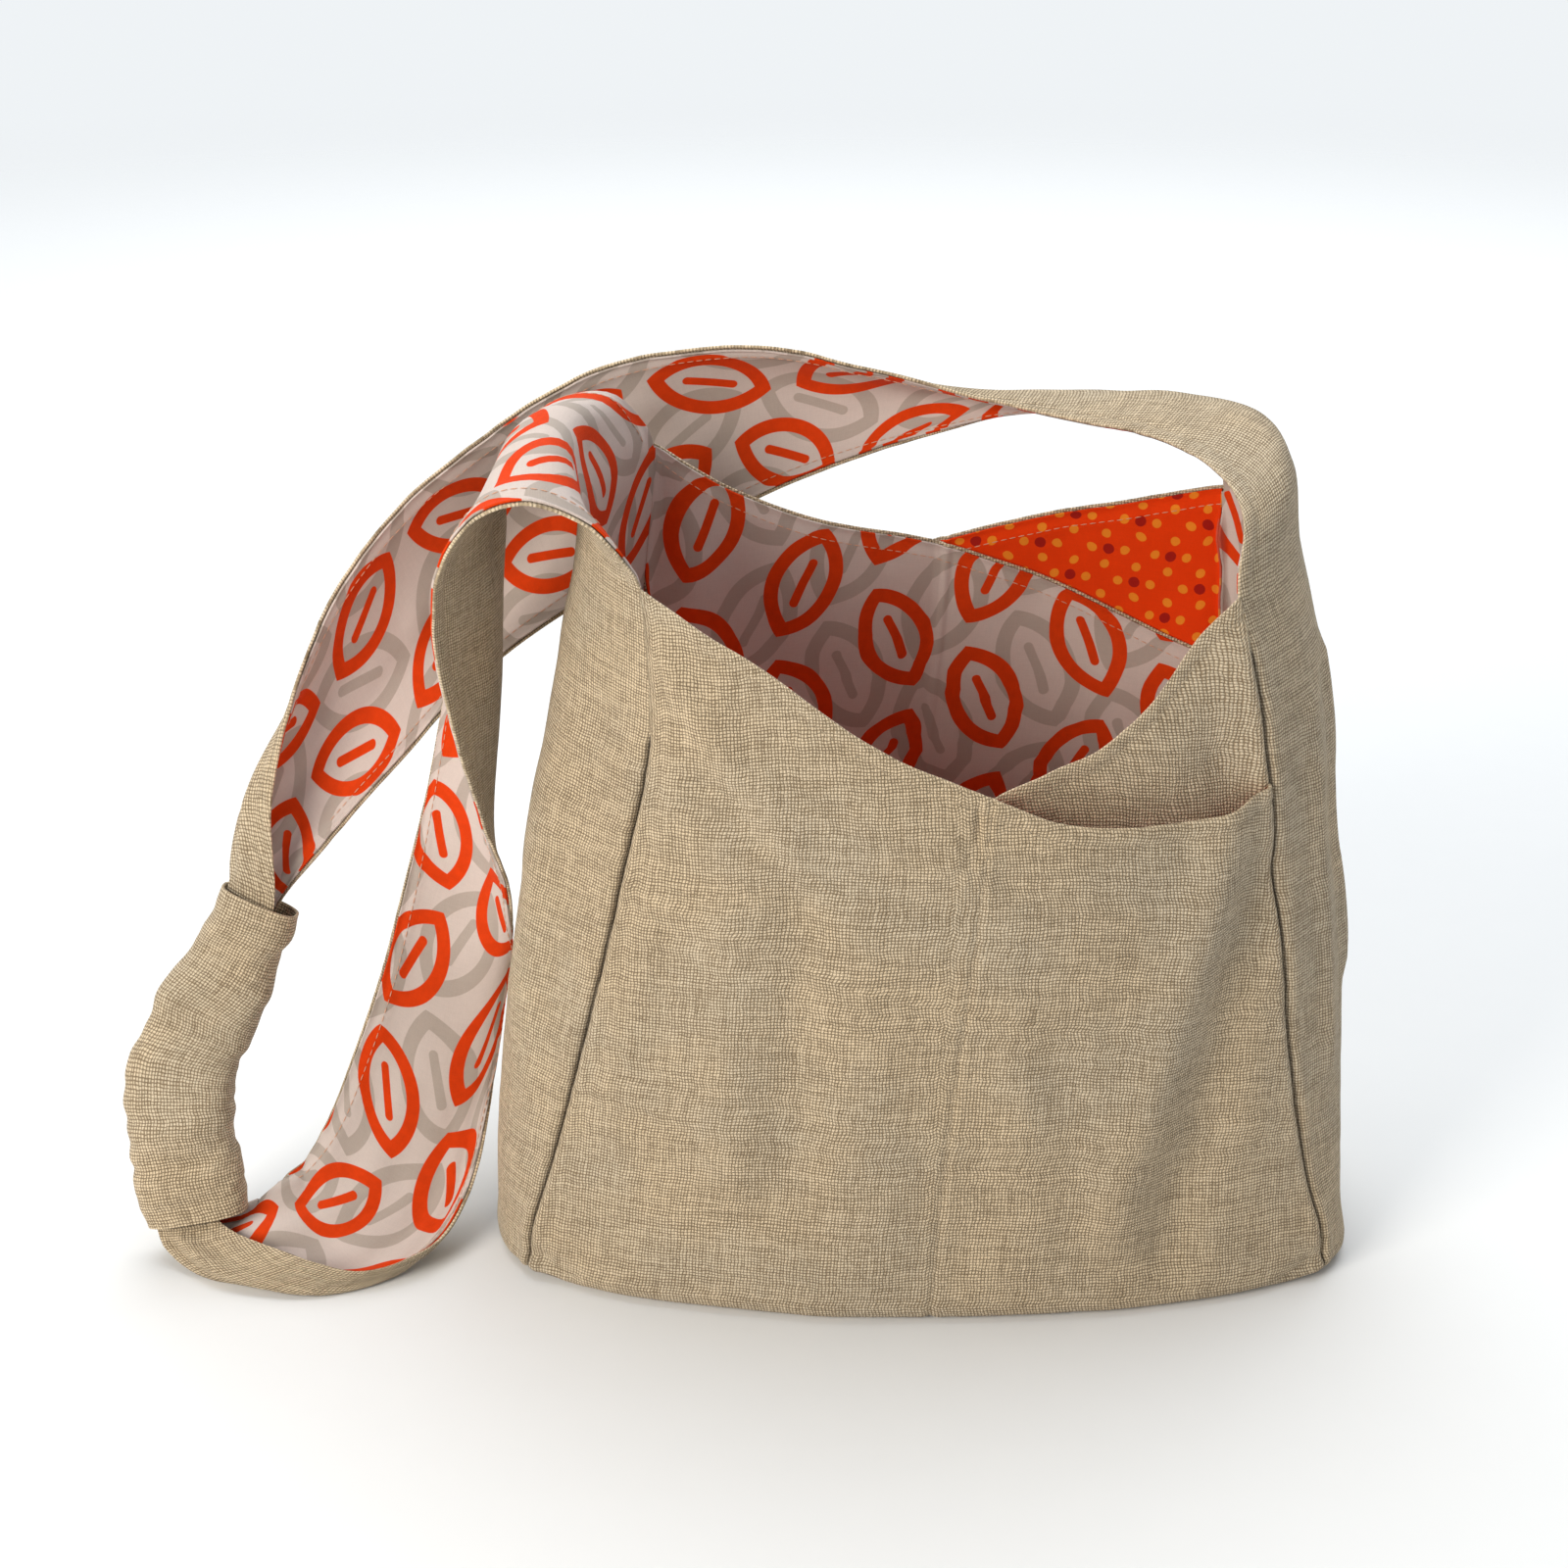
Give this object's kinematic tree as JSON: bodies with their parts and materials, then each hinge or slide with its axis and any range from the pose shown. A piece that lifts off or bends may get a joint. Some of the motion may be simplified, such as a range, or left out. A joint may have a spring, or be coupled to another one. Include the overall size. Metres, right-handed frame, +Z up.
{
  "type": "fabric shoulder bag",
  "caption": "slouching two-sling shoulder bag in linen with printed cotton lining, boxed bottom, front and back pockets and a gathered strap sleeve",
  "frame": {"origin": "centre of the base, on the floor", "axes": "+X to the right along the bag's length, +Y to the back, +Z up"},
  "size_m": [0.5397, 0.2195, 0.3696],
  "materials": {
    "linen": "natural beige linen, plain weave",
    "printed_cotton": "pale cotton print with orange motifs",
    "dotted_cotton": "orange cotton with small dots"
  },
  "bodies": {
    "root": {"front_outer_panel": "linen", "front_inner_panel": "linen", "back_outer_panel": "linen", "back_inner_panel": "linen", "left_side_panel": "linen", "right_side_panel": "linen", "base_panel": "linen", "left_strap": "linen", "right_strap": "linen", "shoulder_sleeve": "linen", "front_pocket_lining": "dotted_cotton", "back_pocket_lining": "dotted_cotton", "front_inner_lining": "printed_cotton", "back_inner_lining": "printed_cotton", "left_side_lining": "printed_cotton", "right_side_lining": "printed_cotton", "base_lining": "printed_cotton", "left_strap_lining": "printed_cotton", "right_strap_lining": "printed_cotton"}
  },
  "joints": []
}
